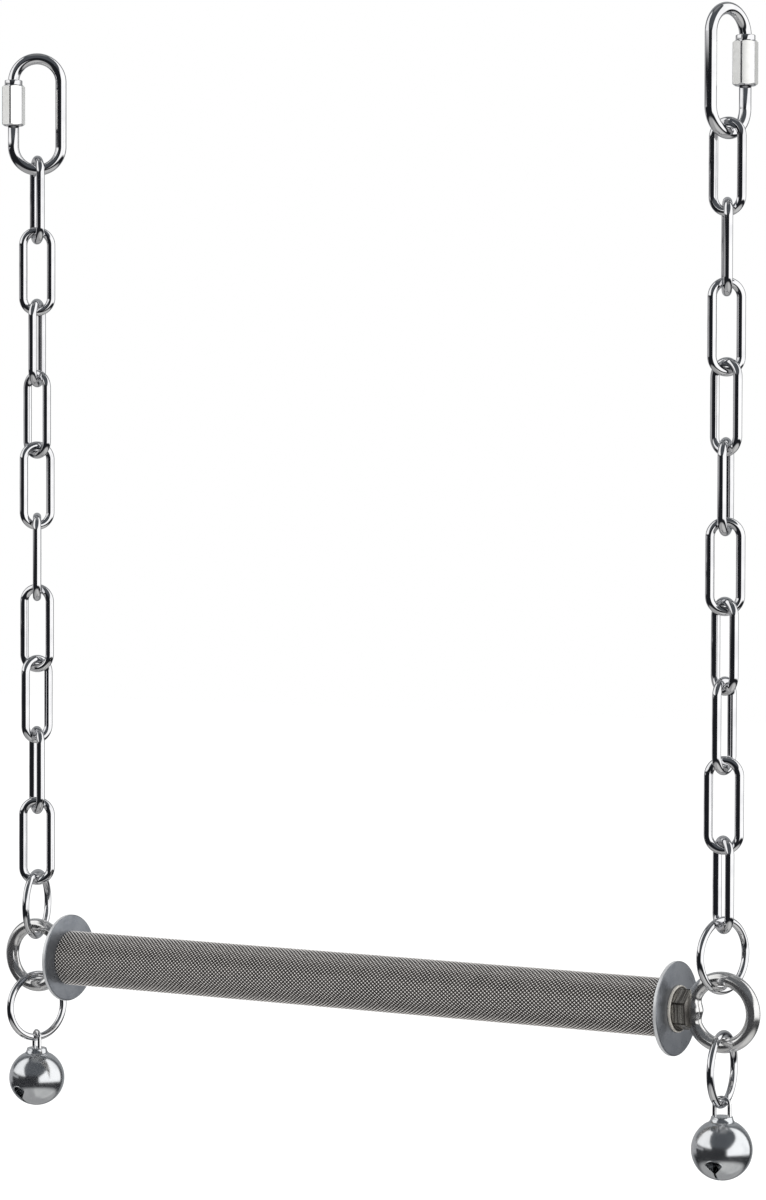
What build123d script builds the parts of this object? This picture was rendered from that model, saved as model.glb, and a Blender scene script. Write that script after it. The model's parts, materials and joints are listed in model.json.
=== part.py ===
from build123d import *
import os
from math import radians, sqrt, tan

# A hanging perch: a knurled bar carried by two chains, with a jingle bell under each end.
# Sizes are millimetres and degrees. +X runs along the bar from the left chain to the right one,
# +Y points to the back and +Z up. The origin is the inner crown of the left quick link, the point
# that rests on the hook.

# Perch bar, its end washers and the threaded eyes
BAR_DIAMETER = 19.5
BAR_LENGTH = 242.3
BAR_EDGE_BREAK = 0.5
THREAD_DIAMETER = 6.0
THREAD_DEPTH = 20.0
WASHER_DIAMETER = 31.0
WASHER_THICKNESS = 1.5
WASHER_EDGE_RADIUS = 0.3
WASHER_HOLE_CLEARANCE = 0.2
LOCK_NUT_ACROSS_FLATS = 12.0
LOCK_NUT_THICKNESS = 2.7
LOCK_NUT_FLANGE_DIAMETER = 15.5
LOCK_NUT_FLANGE_THICKNESS = 1.0
HEX_TURN = 8.0
EYE_SEAT_GAP = 0.25
EYE_DIAMETER = 26.5
EYE_WIRE = 4.7
EYE_BALL_EXTRA = 0.3
EYE_COLLAR_LENGTH = 2.9

# Chains, the plain rings below them and the quick links above them
LINK_COUNT = 10
LINK_LENGTH = 32.0
LINK_WIDTH = 13.0
LINK_WIRE = 3.0
RING_DIAMETER = 25.4
RING_WIRE = 2.5
RUNNING_GAP = 0.25
QUICK_LENGTH = 44.0
QUICK_WIDTH = 21.0
QUICK_WIRE = 4.0
GATE_GAP = 4.5
GATE_THREAD_OVERLAP = 2.5
GATE_THREAD_LENGTH = 8.0
GATE_THREAD_PITCH = 0.7
GATE_THREAD_ROOT = 0.3
GATE_THREAD_RUNOUT = 0.2
SLEEVE_ACROSS_FLATS = 7.5
SLEEVE_LENGTH = 16.4
SLEEVE_COLLAR_LENGTH = 1.75
SLEEVE_COLLAR_WALL = 1.0
SLEEVE_BORE_CLEARANCE = 0.2
SLEEVE_TOP_RISE = 0.65
HEX_CHAMFER_SLOPE = 30.0

# Jingle bells
BELL_DIAMETER = 20.0
BELL_WALL = 0.8
BELL_CROWN_RISE = 0.9
BELL_CROWN_DIAMETER = 7.2
BELL_CROWN_FOOT_DIAMETER = 10.4
BELL_SLIT_WIDTH = 0.8
BELL_HOLE_LATITUDE = -24.0
BELL_HOLE_WIDTH = 6.1
BELL_HOLE_ARCH = 1.9
BELL_HOLE_TAPER = 3.2
LOOP_WIRE = 1.4
LOOP_SIDE_ROOM = 0.65
LOOP_ROOM_UNDER_RING = 2.5
LOOP_LEG_INSIDE = 1.0
CLAPPER_DIAMETER = 6.0
CLAPPER_REST_GAP = 0.1

# Turn of each hanging piece about the vertical; at 0 its flat lies in the XZ plane
QUICK_TURNS = {"left": 36.0, "right": 75.0}
LINK_TURNS = {
    "left": (-40.0, 36.0, 107.0, -10.0, 54.0, -54.0, 12.0, 71.0, -38.0, 28.0),
    "right": (1.0, -60.0, 46.0, -17.0, 102.0, 34.0, -28.0, 86.0, 22.0, -41.0),
}
CHAIN_RING_TURNS = {"left": 106.0, "right": 76.0}
BELL_RING_TURNS = {"left": 70.0, "right": 96.0}
BELL_LOOP_TURNS = {"left": -32.0, "right": 6.0}
BELL_SLIT_TURNS = {"left": -101.0, "right": -82.0}
SLEEVE_SIDE = {"left": -1, "right": 1}
SLEEVE_TURNS = {"left": 14.0, "right": 22.0}

# Places along the bar: the left eye is screwed home against its washer, and the right one, which has
# to stop at the same turn, is held there by a lock nut
eye_radius = (EYE_DIAMETER - EYE_WIRE) / 2
eye_seat = EYE_DIAMETER / 2 + EYE_SEAT_GAP
eye_standoff = {"left": eye_seat, "right": eye_seat + LOCK_NUT_THICKNESS}
bar_start = eye_standoff["left"] + WASHER_THICKNESS
span = bar_start + BAR_LENGTH + WASHER_THICKNESS + eye_standoff["right"]
chain_x = {"left": 0.0, "right": span}

# Quick link
quick_radius = (QUICK_WIDTH - QUICK_WIRE) / 2
quick_straight = QUICK_LENGTH - QUICK_WIDTH
quick_z = QUICK_WIRE - QUICK_LENGTH / 2
quick_low_wire = quick_z - (QUICK_LENGTH - QUICK_WIRE) / 2
sleeve_top = quick_straight / 2 + SLEEVE_TOP_RISE
gate_top = sleeve_top - GATE_THREAD_OVERLAP
gate_bottom = gate_top - GATE_GAP

# Rings and bells
ring_radius = (RING_DIAMETER - RING_WIRE) / 2
bell_radius = BELL_DIAMETER / 2
crown_top = bell_radius + BELL_CROWN_RISE
loop_radius = (RING_WIRE + LOOP_WIRE) / 2 + LOOP_SIDE_ROOM


def hung_in(wire_height, upper_wire, lower_wire):
    """Height of a hanging piece's top wire when it rests in a wire at the given height."""
    return wire_height + (upper_wire + lower_wire) / 2 + RUNNING_GAP


def save(name, shape):
    """Write one piece to its own file."""
    export_step(shape, f"parts/{name}.step")


def low_half_ring(mean_radius, wire):
    """Lower half of a round-wire ring that stands in the XZ plane."""
    section = Pos(mean_radius, 0, 0) * Circle(wire / 2)
    return revolve(section, Axis.Y, 180)


def wire_ring(mean_radius, wire):
    """Whole round-wire ring that stands in the XZ plane."""
    section = Pos(mean_radius, 0, 0) * Circle(wire / 2)
    return revolve(section, Axis.Y, 360)


def chain_link():
    """Welded oval link of round wire, centred on the origin in the XZ plane."""
    mean_radius = (LINK_WIDTH - LINK_WIRE) / 2
    straight = LINK_LENGTH - LINK_WIDTH
    low_end = Pos(0, 0, -straight / 2) * low_half_ring(mean_radius, LINK_WIRE)
    link = low_end + Rot(0, 180, 0) * low_end
    for side in (-1, 1):
        link += Pos(side * mean_radius, 0, 0) * Cylinder(LINK_WIRE / 2, straight)
    return link


def threaded_rod(bottom, top, diameter):
    """Upright rod from bottom to top on the Z axis, with round grooves at its top for the thread."""
    crest = diameter / 2
    root = crest - GATE_THREAD_ROOT
    thread_length = min(GATE_THREAD_LENGTH, top - bottom - GATE_THREAD_RUNOUT)
    turns = int(thread_length / GATE_THREAD_PITCH)
    outline = [(0, bottom), (crest, bottom)]
    for turn in range(turns):
        groove = top - (turns - turn) * GATE_THREAD_PITCH
        outline.append((crest, groove))
        outline.append((root, groove + GATE_THREAD_PITCH / 2))
    outline += [(crest, top - GATE_THREAD_ROOT), (root, top), (0, top)]
    profile = Plane.XZ * make_face(Polyline(*outline, close=True))
    return revolve(profile, Axis.Z, 360)


def quick_link():
    """Open oval of round rod: one plain leg, and one leg with a gate between two threaded ends."""
    half = quick_straight / 2
    low_end = Pos(0, 0, -half) * low_half_ring(quick_radius, QUICK_WIRE)
    link = low_end + Rot(0, 180, 0) * low_end
    link += Pos(-quick_radius, 0, 0) * Cylinder(QUICK_WIRE / 2, quick_straight)
    lower_end = threaded_rod(-half, gate_bottom, QUICK_WIRE)
    upper_end = Rot(180, 0, 0) * threaded_rod(-half, -gate_top, QUICK_WIRE)
    return link + Pos(quick_radius, 0, 0) * (lower_end + upper_end)


def hex_bar(across_flats, height):
    """Plain hexagonal prism on the XY plane."""
    return extrude(RegularPolygon(across_flats / 2, 6, major_radius=False), height)


def hex_prism(across_flats, height):
    """Hexagonal prism on the XY plane, its corners turned off at both ends like a nut's."""
    corner = across_flats / sqrt(3)
    drop = (corner - across_flats / 2) * tan(radians(HEX_CHAMFER_SLOPE))
    outline = [
        (0, 0),
        (across_flats / 2, 0),
        (corner, drop),
        (corner, height - drop),
        (across_flats / 2, height),
        (0, height),
    ]
    barrel = revolve(Plane.XZ * make_face(Polyline(*outline, close=True)), Axis.Z, 360)
    return hex_bar(across_flats, height) & barrel


def sleeve_nut():
    """Long hexagonal nut with a turned collar on top; its top face is at the origin."""
    bore = QUICK_WIRE / 2 + SLEEVE_BORE_CLEARANCE
    hex_length = SLEEVE_LENGTH - SLEEVE_COLLAR_LENGTH
    nut = Pos(0, 0, -SLEEVE_LENGTH) * hex_prism(SLEEVE_ACROSS_FLATS, hex_length)
    collar = Cylinder(bore + SLEEVE_COLLAR_WALL, SLEEVE_COLLAR_LENGTH)
    nut += Pos(0, 0, -SLEEVE_COLLAR_LENGTH / 2) * collar
    return nut - Pos(0, 0, -SLEEVE_LENGTH / 2) * Cylinder(bore, SLEEVE_LENGTH)


def eye_bolt(standoff):
    """Ring centred on the origin in the XZ plane, with a collar and a shank along +X into the bar."""
    # the hexagonal collar ends on the seat, just clear of the ring, and the shank starts inside it
    collar = Rot(HEX_TURN, 0, 0) * Rot(0, 90, 0) * hex_bar(LOCK_NUT_ACROSS_FLATS, EYE_COLLAR_LENGTH)
    collar = Pos(eye_seat - EYE_COLLAR_LENGTH, 0, 0) * collar
    shank_start = eye_seat - EYE_COLLAR_LENGTH / 2
    shank_end = standoff + WASHER_THICKNESS + THREAD_DEPTH
    shank = Rot(0, 90, 0) * Cylinder(THREAD_DIAMETER / 2, shank_end - shank_start)
    stem = collar + Pos((shank_start + shank_end) / 2, 0, 0) * shank
    ball = Pos(eye_radius, 0, 0) * Sphere((THREAD_DIAMETER + EYE_BALL_EXTRA) / 2)
    return wire_ring(eye_radius, EYE_WIRE) + ball + stem


def lock_nut():
    """Thin hexagonal nut lying along +X from the origin, with a round flange at its far end."""
    nut = hex_bar(LOCK_NUT_ACROSS_FLATS, LOCK_NUT_THICKNESS)
    flange = Cylinder(LOCK_NUT_FLANGE_DIAMETER / 2, LOCK_NUT_FLANGE_THICKNESS)
    nut += Pos(0, 0, LOCK_NUT_THICKNESS - LOCK_NUT_FLANGE_THICKNESS / 2) * flange
    nut -= Pos(0, 0, LOCK_NUT_THICKNESS / 2) * Cylinder(THREAD_DIAMETER / 2, LOCK_NUT_THICKNESS)
    return Rot(HEX_TURN, 0, 0) * Rot(0, 90, 0) * nut


def end_washer():
    """Flat washer lying along +X from the origin, with softened outer edges."""
    disc = Cylinder(WASHER_DIAMETER / 2, WASHER_THICKNESS)
    disc = fillet(disc.edges(), WASHER_EDGE_RADIUS)
    disc -= Cylinder(THREAD_DIAMETER / 2 + WASHER_HOLE_CLEARANCE, WASHER_THICKNESS)
    return Pos(WASHER_THICKNESS / 2, 0, 0) * (Rot(0, 90, 0) * disc)


def perch_bar():
    """Round bar along X, centred on the origin, tapped at both ends for the eye bolts."""
    bar = Cylinder(BAR_DIAMETER / 2, BAR_LENGTH)
    bar = chamfer(bar.edges(), BAR_EDGE_BREAK)
    for end in (-1, 1):
        middle = end * (BAR_LENGTH - THREAD_DEPTH) / 2
        bar -= Pos(0, 0, middle) * Cylinder(THREAD_DIAMETER / 2, THREAD_DEPTH)
    return Rot(0, 90, 0) * bar


def bell_shell(slit_turn, loop_turn):
    """Hollow ball with a crown on top, a slit below and a fan-shaped hole at each end of the slit."""
    inner_radius = bell_radius - BELL_WALL
    crown_foot = sqrt(bell_radius**2 - (BELL_CROWN_FOOT_DIAMETER / 2) ** 2)
    crown_height = crown_top - crown_foot
    crown = Cone(BELL_CROWN_FOOT_DIAMETER / 2, BELL_CROWN_DIAMETER / 2, crown_height)
    shell = Sphere(bell_radius) + Pos(0, 0, crown_foot + crown_height / 2) * crown
    shell -= Sphere(inner_radius)
    # facing out along the hole, X points down towards the slit
    outline = ThreePointArc((0, -BELL_HOLE_WIDTH / 2), (-BELL_HOLE_ARCH, 0), (0, BELL_HOLE_WIDTH / 2))
    outline += Polyline(
        (0, BELL_HOLE_WIDTH / 2),
        (BELL_HOLE_TAPER, BELL_SLIT_WIDTH / 2),
        (BELL_HOLE_TAPER, -BELL_SLIT_WIDTH / 2),
        (0, -BELL_HOLE_WIDTH / 2),
    )
    hole = Pos(0, 0, bell_radius / 2) * extrude(make_face(outline), bell_radius)
    slit_end = Pos(bell_radius / 2, 0, bell_radius / 2) * Box(bell_radius, BELL_SLIT_WIDTH, BELL_DIAMETER)
    cut = Rot(0, 90 - BELL_HOLE_LATITUDE, 0) * (hole + slit_end)
    for end in (0, 180):
        shell -= Rot(0, 0, slit_turn + end) * cut
    leg_hole = Pos(loop_radius, 0, crown_top / 2) * Cylinder(LOOP_WIRE / 2, crown_top)
    for end in (0, 180):
        shell -= Rot(0, 0, loop_turn + end) * leg_hole
    return shell


def bell_loop(crown_wire, loop_turn):
    """Bent wire in the XZ plane: an arch at the given height, and two legs let into the bell."""
    arch_z = crown_wire - loop_radius
    inner_roof = sqrt((bell_radius - BELL_WALL) ** 2 - loop_radius**2)
    leg_length = arch_z - inner_roof + LOOP_LEG_INSIDE
    arch = Rot(0, 180, 0) * low_half_ring(loop_radius, LOOP_WIRE)
    loop = Pos(0, 0, arch_z) * arch
    for side in (-1, 1):
        leg = Cylinder(LOOP_WIRE / 2, leg_length)
        loop += Pos(side * loop_radius, 0, arch_z - leg_length / 2) * leg
    return Rot(0, 0, loop_turn) * loop


def chain(side):
    """Write one side's quick link, sleeve nut, links and chain ring.

    Returns the height of the eye that hangs in the chain ring.
    """
    x = chain_x[side]
    # the gate is on the side that the sleeve nut faces
    gate_turn = QUICK_TURNS[side] + (0 if SLEEVE_SIDE[side] > 0 else 180)
    place = Pos(x, 0, quick_z) * Rot(0, 0, gate_turn)
    save(f"quick_link_{side}", place * quick_link())
    sleeve_place = place * Pos(quick_radius, 0, sleeve_top) * Rot(0, 0, SLEEVE_TURNS[side])
    save(f"sleeve_nut_{side}", sleeve_place * sleeve_nut())

    low_wire = quick_low_wire
    wire = QUICK_WIRE
    turns = LINK_TURNS[side]
    for number in range(LINK_COUNT):
        top_wire = hung_in(low_wire, wire, LINK_WIRE)
        low_wire = top_wire - (LINK_LENGTH - LINK_WIRE)
        wire = LINK_WIRE
        middle = Pos(x, 0, (top_wire + low_wire) / 2)
        turn = Rot(0, 0, turns[number % len(turns)])
        save(f"chain_link_{side}_{number + 1:02d}", middle * turn * chain_link())

    top_wire = hung_in(low_wire, wire, RING_WIRE)
    ring = Rot(0, 0, CHAIN_RING_TURNS[side]) * wire_ring(ring_radius, RING_WIRE)
    save(f"chain_ring_{side}", Pos(x, 0, top_wire - ring_radius) * ring)
    return hung_in(top_wire - 2 * ring_radius, RING_WIRE, EYE_WIRE) - eye_radius


def perch_end(side, bar_z):
    """Write one end's eye bolt and washer, and the right end's lock nut."""
    standoff = eye_standoff[side]
    pieces = {
        f"eye_bolt_{side}": eye_bolt(standoff),
        f"end_washer_{side}": Pos(standoff, 0, 0) * end_washer(),
    }
    if side == "right":
        pieces["lock_nut"] = Pos(standoff - LOCK_NUT_THICKNESS, 0, 0) * lock_nut()
    for name, shape in pieces.items():
        piece = Pos(0, 0, bar_z) * shape
        if side == "right":
            # the right end faces the other way
            piece = mirror(piece, about=Plane.YZ.offset(span / 2))
        save(name, piece)


def bell(side, bar_z):
    """Write the ring that hangs in one eye, and the bell that hangs in it."""
    x = chain_x[side]
    top_wire = hung_in(bar_z - eye_radius, EYE_WIRE, RING_WIRE)
    low_wire = top_wire - 2 * ring_radius
    ring = Rot(0, 0, BELL_RING_TURNS[side]) * wire_ring(ring_radius, RING_WIRE)
    save(f"bell_ring_{side}", Pos(x, 0, top_wire - ring_radius) * ring)

    bell_z = low_wire - RING_WIRE / 2 - LOOP_ROOM_UNDER_RING - crown_top
    crown_wire = hung_in(low_wire, RING_WIRE, LOOP_WIRE) - bell_z
    place = Pos(x, 0, bell_z)
    loop_turn = BELL_LOOP_TURNS[side]
    save(f"bell_shell_{side}", place * bell_shell(BELL_SLIT_TURNS[side], loop_turn))
    save(f"bell_loop_{side}", place * bell_loop(crown_wire, loop_turn))
    clapper_drop = bell_radius - BELL_WALL - CLAPPER_REST_GAP - CLAPPER_DIAMETER / 2
    save(f"bell_clapper_{side}", place * Pos(0, 0, -clapper_drop) * Sphere(CLAPPER_DIAMETER / 2))


os.makedirs("parts", exist_ok=True)
for side in ("left", "right"):
    bar_z = chain(side)
    perch_end(side, bar_z)
    bell(side, bar_z)
save("perch_bar", Pos(bar_start + BAR_LENGTH / 2, 0, bar_z) * perch_bar())
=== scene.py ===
"""Looks of a hanging bird perch: knurled bar, washers, eyes, chains, quick links and jingle bells.

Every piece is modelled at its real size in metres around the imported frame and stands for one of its
nodes. The origin is the inner crown of the left quick link, +X runs along the bar and +Z points up.
"""

from __future__ import annotations

import json
import logging
import math
from collections.abc import Callable, Sequence
from dataclasses import dataclass, field
from enum import Enum

import bpy
from mathutils import Matrix, Vector

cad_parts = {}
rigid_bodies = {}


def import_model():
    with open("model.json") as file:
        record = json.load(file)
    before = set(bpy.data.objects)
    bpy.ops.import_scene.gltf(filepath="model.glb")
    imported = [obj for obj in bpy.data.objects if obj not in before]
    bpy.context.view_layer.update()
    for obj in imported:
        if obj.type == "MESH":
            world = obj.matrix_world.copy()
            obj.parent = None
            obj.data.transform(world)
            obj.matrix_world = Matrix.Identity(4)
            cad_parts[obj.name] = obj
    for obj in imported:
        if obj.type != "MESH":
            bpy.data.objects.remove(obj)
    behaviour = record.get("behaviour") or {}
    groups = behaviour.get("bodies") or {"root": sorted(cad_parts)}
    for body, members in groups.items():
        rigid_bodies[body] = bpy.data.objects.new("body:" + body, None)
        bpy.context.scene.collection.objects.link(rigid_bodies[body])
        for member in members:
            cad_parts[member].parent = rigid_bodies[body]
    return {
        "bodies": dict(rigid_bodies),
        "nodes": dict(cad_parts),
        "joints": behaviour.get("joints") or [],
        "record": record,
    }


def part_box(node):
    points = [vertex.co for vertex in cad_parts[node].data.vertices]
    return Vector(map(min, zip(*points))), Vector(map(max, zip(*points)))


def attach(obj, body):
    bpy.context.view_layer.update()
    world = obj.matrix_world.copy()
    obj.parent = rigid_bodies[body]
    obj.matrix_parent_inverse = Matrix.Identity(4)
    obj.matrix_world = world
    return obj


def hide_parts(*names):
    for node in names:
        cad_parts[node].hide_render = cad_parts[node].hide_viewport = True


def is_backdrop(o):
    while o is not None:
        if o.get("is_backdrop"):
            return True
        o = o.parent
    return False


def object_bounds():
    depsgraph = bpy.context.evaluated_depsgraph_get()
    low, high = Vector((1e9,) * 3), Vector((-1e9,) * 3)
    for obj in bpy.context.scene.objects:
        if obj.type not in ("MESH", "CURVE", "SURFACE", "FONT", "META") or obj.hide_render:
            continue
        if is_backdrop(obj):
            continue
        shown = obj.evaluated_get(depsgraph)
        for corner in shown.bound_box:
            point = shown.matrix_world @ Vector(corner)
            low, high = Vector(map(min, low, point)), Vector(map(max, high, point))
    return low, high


LOG = logging.getLogger("bird_perch")
MM = 0.001
TAU = 2 * math.pi
TOUCH = 1e-6  # points nearer than this are one
SLIVER = 8e-6  # faces narrower than this are left over from a cut
PAST = 1.0 * MM  # a cutting piece reaches so far past what it cuts
SIDES = ("left", "right")
Point = tuple[float, float]
Colour = tuple[float, float, float]
Piece = bpy.types.Object
Socket = bpy.types.NodeSocket


# Modelling helpers


class Element(Enum):
    """What edit mode selects."""

    VERTEX = "VERT"
    EDGE = "EDGE"
    FACE = "FACE"


class Join(Enum):
    """What one closed mesh does to another."""

    ADD = "UNION"
    CUT = "DIFFERENCE"
    TRIM = "INTERSECT"


def clear_selection() -> None:
    """Leave edit mode and deselect every object."""
    if bpy.context.object is not None and bpy.context.object.mode != "OBJECT":
        bpy.ops.object.mode_set(mode="OBJECT")
    bpy.ops.object.select_all(action="DESELECT")


def make_active(obj: Piece) -> None:
    """Select one object alone and make it the active one.

    Args:
        obj: The object.
    """
    clear_selection()
    obj.select_set(True)
    bpy.context.view_layer.objects.active = obj


def added(operator: Callable[..., set[str]], **settings: object) -> Piece:
    """Add one thing to the scene with nothing else selected.

    Args:
        operator: The operator that adds it.
        settings: The operator's settings.

    Returns:
        The new object.
    """
    clear_selection()
    operator(**settings)
    return bpy.context.object


def enter_edit(obj: Piece, element: Element = Element.VERTEX, whole: bool = False) -> None:
    """Open one object in edit mode.

    Args:
        obj: The object to edit.
        element: What is to be selected.
        whole: Whether all of it is selected, or nothing.
    """
    make_active(obj)
    bpy.ops.object.mode_set(mode="EDIT")
    bpy.ops.mesh.select_mode(type=element.value)
    bpy.ops.mesh.select_all(action="SELECT" if whole else "DESELECT")


def leave_edit() -> None:
    """Go back to object mode."""
    bpy.ops.object.mode_set(mode="OBJECT")


def pick_vertices(obj: Piece, wanted: Callable[[Vector], bool]) -> None:
    """Select the vertices whose place passes a test, and stay in edit mode.

    Args:
        obj: The object to edit.
        wanted: Tells from a vertex's place whether it is selected.
    """
    enter_edit(obj)
    leave_edit()
    for vertex in obj.data.vertices:
        vertex.select = wanted(vertex.co)
    bpy.ops.object.mode_set(mode="EDIT")


def pick_edges(obj: Piece, wanted: Callable[[Vector, Vector], bool]) -> None:
    """Select the edges whose two ends pass a test, and stay in edit mode.

    Args:
        obj: The object to edit.
        wanted: Tells from the places of an edge's ends whether it is selected.
    """
    enter_edit(obj, Element.EDGE)
    leave_edit()
    places = [vertex.co.copy() for vertex in obj.data.vertices]
    for edge in obj.data.edges:
        first, second = edge.vertices
        edge.select = wanted(places[first], places[second])
    bpy.ops.object.mode_set(mode="EDIT")


def settle(obj: Piece) -> None:
    """Put an object's place, turn and scale into its mesh."""
    make_active(obj)
    bpy.ops.object.transform_apply(location=True, rotation=True, scale=True)


def tidy_normals(obj: Piece) -> None:
    """Merge doubled vertices and turn every face of a closed mesh outwards.

    Args:
        obj: The mesh.
    """
    enter_edit(obj, whole=True)
    bpy.ops.mesh.remove_doubles(threshold=TOUCH)
    bpy.ops.mesh.normals_make_consistent(inside=False)
    leave_edit()


def clean_cuts(obj: Piece) -> None:
    """Take away the slivers and doubled vertices that cutting and joining leave.

    Args:
        obj: The mesh.
    """
    enter_edit(obj, whole=True)
    bpy.ops.mesh.remove_doubles(threshold=SLIVER)
    bpy.ops.mesh.quads_convert_to_tris(quad_method="BEAUTY", ngon_method="BEAUTY")
    bpy.ops.mesh.dissolve_degenerate(threshold=SLIVER)
    bpy.ops.mesh.delete_loose(use_verts=True, use_edges=True, use_faces=False)
    leave_edit()


def smooth_by_angle(obj: Piece, degrees: float) -> None:
    """Shade a mesh smooth, with sharp edges where faces meet at more than an angle."""
    make_active(obj)
    bpy.ops.object.shade_smooth_by_angle(angle=math.radians(degrees))


def combine(obj: Piece, tool: Piece, join: Join) -> None:
    """Add one closed mesh to another, or cut or trim it with that one.

    Args:
        obj: The mesh that stays.
        tool: The mesh that is used up.
        join: What the tool does.
    """
    make_active(obj)
    boolean = obj.modifiers.new("combine", "BOOLEAN")
    boolean.operation = join.value
    boolean.solver = "EXACT"
    boolean.object = tool
    bpy.ops.object.modifier_apply(modifier=boolean.name)
    bpy.data.objects.remove(tool, do_unlink=True)


def weld_together(obj: Piece, others: Sequence[Piece]) -> None:
    """Join several meshes into the first one.

    Args:
        obj: The mesh that stays.
        others: The meshes that are added to it.
    """
    make_active(obj)
    for other in others:
        other.select_set(True)
    bpy.ops.object.join()


def number_faces(obj: Piece, number: int) -> Piece:
    """Give every face of a mesh one of two finish numbers, which joining keeps.

    Args:
        obj: The mesh.
        number: 0 or 1.

    Returns:
        The mesh.
    """
    for _ in range(2):
        obj.data.materials.append(None)
    for face in obj.data.polygons:
        face.material_index = number
    return obj


def drawn_line(points: Sequence[Vector]) -> Piece:
    """Draw a line by extruding one vertex from point to point, and stay in edit mode.

    Args:
        points: The line's points.

    Returns:
        The new object, with all of its line selected.
    """
    obj = added(bpy.ops.mesh.primitive_plane_add, size=MM, location=(0, 0, 0))
    enter_edit(obj, whole=True)
    bpy.ops.mesh.merge(type="CENTER")
    bpy.ops.transform.translate(value=points[0])
    for start, end in zip(points, points[1:]):
        bpy.ops.mesh.extrude_vertices_move(TRANSFORM_OT_translate={"value": end - start})
    bpy.ops.mesh.select_all(action="SELECT")
    return obj


def turned(profile: Sequence[Point], steps: int = 96) -> Piece:
    """Turn a profile about the Z axis, as on a lathe.

    Args:
        profile: Radius and height of each point, in metres, from one end on the axis to the other.
        steps: How many faces go round.

    Returns:
        The closed mesh.
    """
    obj = drawn_line([Vector((radius, 0, height)) for radius, height in profile])
    bpy.ops.mesh.spin(steps=steps, angle=TAU, center=(0, 0, 0), axis=(0, 0, 1), use_auto_merge=True)
    leave_edit()
    tidy_normals(obj)
    return obj


def rod(radius: float, low: float, high: float, steps: int) -> Piece:
    """Turn a plain round rod along Z, from one height to another."""
    return turned([(0.0, low), (radius, low), (radius, high), (0.0, high)], steps)


def thread_profile(crest: float, root: float, tip: float, pitch: float, turns: int) -> list[Point]:
    """Give the profile of a rod's thread, so many turns up to the rod's tip."""
    feet = [tip - (turns - turn) * pitch for turn in range(turns)]
    return [point for foot in feet for point in ((crest, foot), (root, foot + pitch / 2))]


def prism(outline: Sequence[Point], depth: float) -> Piece:
    """Fill an outline in the XY plane and pull it up along +Z.

    Args:
        outline: The corners, in metres, in order and not closed.
        depth: How far it is pulled up.

    Returns:
        The closed mesh.
    """
    obj = drawn_line([Vector((x, y, 0)) for x, y in outline])
    bpy.ops.mesh.edge_face_add()
    bpy.ops.mesh.extrude_region_move(TRANSFORM_OT_translate={"value": (0, 0, depth)})
    leave_edit()
    tidy_normals(obj)
    return obj


def arc(centre: Point, radius: float, start: float, end: float, count: int) -> list[Point]:
    """Give the points of an arc in so many steps, both ends included, with its angles in degrees."""
    angles = [math.radians(start + (end - start) * step / count) for step in range(count + 1)]
    return [(centre[0] + radius * math.cos(a), centre[1] + radius * math.sin(a)) for a in angles]


def hexagon(flats: float, height: float, edge: float) -> Piece:
    """Model a hexagonal bar on the XY plane with softened upright edges.

    Args:
        flats: Its size across flats.
        height: Its height.
        edge: How far its upright edges are softened.

    Returns:
        The hexagon, with two of its corners on the X axis.
    """
    obj = added(
        bpy.ops.mesh.primitive_cylinder_add,
        vertices=6,
        radius=flats / math.sqrt(3),
        depth=height,
        location=(0, 0, height / 2),
        rotation=(0, 0, math.pi / 6),
    )
    settle(obj)
    pick_edges(obj, lambda a, b: abs(a.z - b.z) > height / 2)
    bpy.ops.mesh.bevel(offset=edge, segments=4)
    leave_edit()
    return obj


# Shader helpers


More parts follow.
